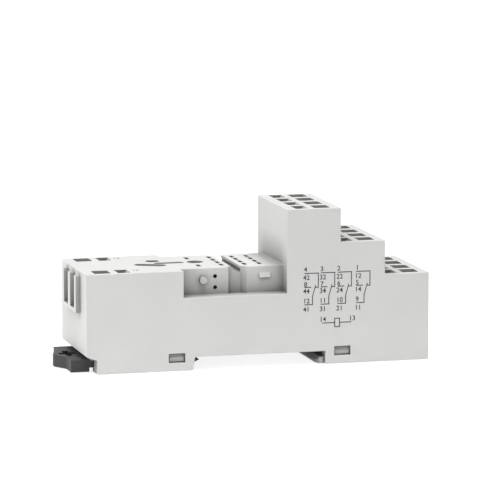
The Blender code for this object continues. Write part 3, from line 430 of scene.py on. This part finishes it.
def stroke_copy(stroke, along):
    """A copy of a drawn line, with a mesh of its own, moved along the printed face."""
    bpy.ops.object.select_all(action="DESELECT")
    stroke.select_set(True)
    bpy.context.view_layer.objects.active = stroke
    bpy.ops.object.duplicate(linked=False)
    copy = bpy.context.object
    copy.location = (along, 0, 0)
    apply_place(copy)
    return copy


def print_figure(name, strokes, lift):
    """Joins the strokes, gives them the ink's thickness and lifts them on to the printed face."""
    bpy.ops.object.select_all(action="DESELECT")
    for stroke in strokes:
        stroke.select_set(True)
    bpy.context.view_layer.objects.active = strokes[0]
    bpy.ops.object.join()
    figure = bpy.context.object
    figure.name = name
    bpy.ops.object.mode_set(mode="EDIT")
    bpy.ops.mesh.select_all(action="SELECT")
    bpy.ops.mesh.normals_make_consistent(inside=False)
    bpy.ops.object.mode_set(mode="OBJECT")
    film = figure.modifiers.new("ink_film", "SOLIDIFY")
    film.thickness = INK_FILM
    film.offset = 0.0
    bpy.ops.object.modifier_apply(modifier=film.name)
    figure.location = lift
    apply_place(figure)
    figure.data.materials.append(figure_ink)
    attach(figure, "socket")


near_lift = (0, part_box("housing")[0].y - INK_FILM / 2, 0)
closed_legs = [(CLOSED_RUN, 0), (0, -CLOSED_FALL), (-CLOSED_HOOK, 0)]
common_legs = [(COMMON_RUN, 0), (0, COMMON_RISE), (LEVER_RUN, LEVER_RISE)]
changeover = [
    ink_line(0, FIGURE_TOP, closed_legs),
    ink_line(0, FIGURE_TOP - OPEN_DROP, [(OPEN_RUN, 0)]),
    ink_line(0, FIGURE_TOP - COMMON_DROP, common_legs),
]
for column, start in enumerate(FIGURE_STARTS):
    strokes = [stroke_copy(stroke, start) for stroke in changeover]
    for text, drop in zip(COLUMN_NUMBERS[column], NUMBER_DROPS):
        aside = ONE_DIGIT_ASIDE if len(text) == 1 else TWO_DIGITS_ASIDE
        strokes.append(ink_number(text, (start + aside, 0, FIGURE_TOP - drop), UPRIGHT))
    print_figure(f"contact_figure_{column + 1}", strokes, near_lift)
bpy.ops.object.select_all(action="DESELECT")
for stroke in changeover:
    stroke.select_set(True)
bpy.ops.object.delete()

box_legs = [(COIL_WIDTH, 0), (0, -COIL_HEIGHT), (-COIL_WIDTH, 0), (0, COIL_HEIGHT)]
lead_start = COIL_WIDTH / 2 + INK_LINE
coil_strokes = [
    ink_line(COIL_X - COIL_WIDTH / 2, COIL_Z + COIL_HEIGHT / 2, box_legs),
    ink_line(COIL_X - lead_start - LEFT_LEAD, COIL_Z, [(LEFT_LEAD, 0)]),
    ink_line(COIL_X + lead_start, COIL_Z, [(RIGHT_LEAD, 0)]),
]
for text, aside in COIL_NUMBERS:
    coil_strokes.append(ink_number(text, (COIL_X + aside, 0, COIL_Z + COIL_NUMBER_RISE), UPRIGHT))
print_figure("coil_figure", coil_strokes, near_lift)


# Coil numbers on the left block: a plain number behind each coil entry, read from the near side.
# The same ink, printed on the flat top in the same pass as the wiring figure.
BLOCK_TOP = 0.0268
FAR_NUMBER_PLACE = (-0.0302, 0.0114, 0)
NEAR_NUMBER_PLACE = (-0.0300, -0.0102, 0)
LYING = 0.0
top_lift = (0, 0, BLOCK_TOP + INK_FILM / 2)
print_figure("coil_number_far", [ink_number("14", FAR_NUMBER_PLACE, LYING)], top_lift)
print_figure("coil_number_near", [ink_number("13", NEAR_NUMBER_PLACE, LYING)], top_lift)


# Stage: a plain white sheet that runs up behind the socket in one sweep.
# It is lit like the socket, and shows white to the eye with a faint shadow left under the feet.
# It casts no shadow itself, so the painted shade in wells and corners counts the socket's pieces
# alone.
SHEET_SIZE = 6.0
SHEET_RISE = 2.4
SHEET_DROP = 0.0002
SWEEP_WIDTH = 0.9
SWEEP_STEPS = 12
SHEET_WHITE = (0.90, 0.90, 0.90, 1.0)
SHEET_SHADE = (0.50, 0.50, 0.50, 1.0)
SHEET_GLOW = 0.86
bpy.ops.object.select_all(action="DESELECT")
bpy.ops.mesh.primitive_plane_add(size=SHEET_SIZE, location=(0, 0, -SHEET_DROP))
sheet = bpy.context.object
sheet.name = "white_sheet"
apply_place(sheet)
bpy.ops.object.mode_set(mode="EDIT")
bpy.ops.mesh.select_mode(type="EDGE")
bpy.ops.mesh.select_all(action="DESELECT")
shape = bmesh.from_edit_mesh(sheet.data)
for edge in shape.edges:
    if all(vert.co.y > 0 for vert in edge.verts):
        edge.select_set(True)
bmesh.update_edit_mesh(sheet.data)
bpy.ops.mesh.extrude_edges_move(TRANSFORM_OT_translate={"value": (0, 0, SHEET_RISE)})
bpy.ops.object.mode_set(mode="OBJECT")
sweep = sheet.modifiers.new("sweep", "BEVEL")
sweep.width = SWEEP_WIDTH
sweep.segments = SWEEP_STEPS
bpy.ops.object.modifier_apply(modifier=sweep.name)
bpy.ops.object.shade_smooth()
sheet.visible_shadow = False


def seen_directly(tree):
    """1 for rays from the eye, and for those seen in gloss or through glass."""
    path = tree.nodes.new("ShaderNodeLightPath")
    first = tree.nodes.new("ShaderNodeMath")
    first.operation = "MAXIMUM"
    wire(tree, path.outputs["Is Camera Ray"], first.inputs[0])
    wire(tree, path.outputs["Is Glossy Ray"], first.inputs[1])
    second = tree.nodes.new("ShaderNodeMath")
    second.operation = "MAXIMUM"
    wire(tree, first.outputs[0], second.inputs[0])
    wire(tree, path.outputs["Is Transmission Ray"], second.inputs[1])
    return second.outputs[0]


paper = bpy.data.materials.new("white_paper")
paper.use_nodes = True
tree = paper.node_tree
tree.nodes.remove(tree.nodes["Principled BSDF"])
matt = tree.nodes.new("ShaderNodeBsdfDiffuse")
matt.inputs["Color"].default_value = SHEET_WHITE
shade = tree.nodes.new("ShaderNodeBsdfDiffuse")
shade.inputs["Color"].default_value = SHEET_SHADE
glow = tree.nodes.new("ShaderNodeEmission")
glow.inputs["Strength"].default_value = SHEET_GLOW
shown = tree.nodes.new("ShaderNodeAddShader")
wire(tree, shade.outputs[0], shown.inputs[0])
wire(tree, glow.outputs[0], shown.inputs[1])
choice = tree.nodes.new("ShaderNodeMixShader")
wire(tree, seen_directly(tree), choice.inputs["Fac"])
wire(tree, matt.outputs[0], choice.inputs[1])
wire(tree, shown.outputs[0], choice.inputs[2])
wire(tree, choice.outputs[0], tree.nodes["Material Output"].inputs["Surface"])
sheet.data.materials.append(paper)


# Light: a bright room round the socket, a broad lamp above and a softbox by its left end.
# The room is white to the eye, and lights the socket at a plain level.
ROOM_LEVEL = 0.262
ROOM_SHOWN = 1.0
ROOM_WHITE = (1.0, 1.0, 1.0, 1.0)
TOP_PLACE = (-0.05, -0.22, 0.95)
TOP_AIM = (0, 0, 0.02)
TOP_SIZE = 0.7
TOP_POWER = 9.35
SOFTBOX_PLACE = (-0.30, -0.03, 0.12)
SOFTBOX_AIM = (-0.05, 0, 0.015)
SOFTBOX_SIZE = 0.20
SOFTBOX_POWER = 0.27
world = bpy.data.worlds.new("studio_room")
bpy.context.scene.world = world
world.use_nodes = True
tree = world.node_tree
room = tree.nodes["Background"]
room.inputs["Color"].default_value = ROOM_WHITE
room.inputs["Strength"].default_value = ROOM_LEVEL
white = tree.nodes.new("ShaderNodeBackground")
white.inputs["Color"].default_value = ROOM_WHITE
white.inputs["Strength"].default_value = ROOM_SHOWN
choice = tree.nodes.new("ShaderNodeMixShader")
wire(tree, seen_directly(tree), choice.inputs["Fac"])
wire(tree, room.outputs[0], choice.inputs[1])
wire(tree, white.outputs[0], choice.inputs[2])
wire(tree, choice.outputs[0], tree.nodes["World Output"].inputs["Surface"])


def soft_lamp(name, place, aim, size, power):
    """A square lamp of the given size, turned from its place towards its aim."""
    lamp = bpy.data.lights.new(name, "AREA")
    lamp.shape = "SQUARE"
    lamp.size = size
    lamp.energy = power
    holder = bpy.data.objects.new(name, lamp)
    bpy.context.scene.collection.objects.link(holder)
    holder.location = place
    holder.rotation_euler = (Vector(aim) - Vector(place)).to_track_quat("-Z", "Y").to_euler()


soft_lamp("top_lamp", TOP_PLACE, TOP_AIM, TOP_SIZE, TOP_POWER)
soft_lamp("left_softbox", SOFTBOX_PLACE, SOFTBOX_AIM, SOFTBOX_SIZE, SOFTBOX_POWER)


# Camera: a long lens a metre away, a little above the socket and to the left of its near side.
# Its place comes from the edges of the photographed socket, so the frame is the photograph's.
CAMERA_PLACE = (-0.26515, -1.0020, 0.1856)
CAMERA_TILT = math.radians(81.44)
CAMERA_TURN = math.radians(-15.05)
CAMERA_LENS = 279.4
CAMERA_SENSOR = 36.0
CAMERA_NEAREST = 0.05
CAMERA_FARTHEST = 30.0
view = bpy.data.cameras.new("photo_camera")
view.sensor_width = CAMERA_SENSOR
view.lens = CAMERA_LENS
view.clip_start = CAMERA_NEAREST
view.clip_end = CAMERA_FARTHEST
camera = bpy.data.objects.new("photo_camera", view)
bpy.context.scene.collection.objects.link(camera)
camera.location = CAMERA_PLACE
camera.rotation_euler = (CAMERA_TILT, 0.0, CAMERA_TURN)
bpy.context.scene.camera = camera
bpy.context.scene.view_settings.view_transform = "Standard"
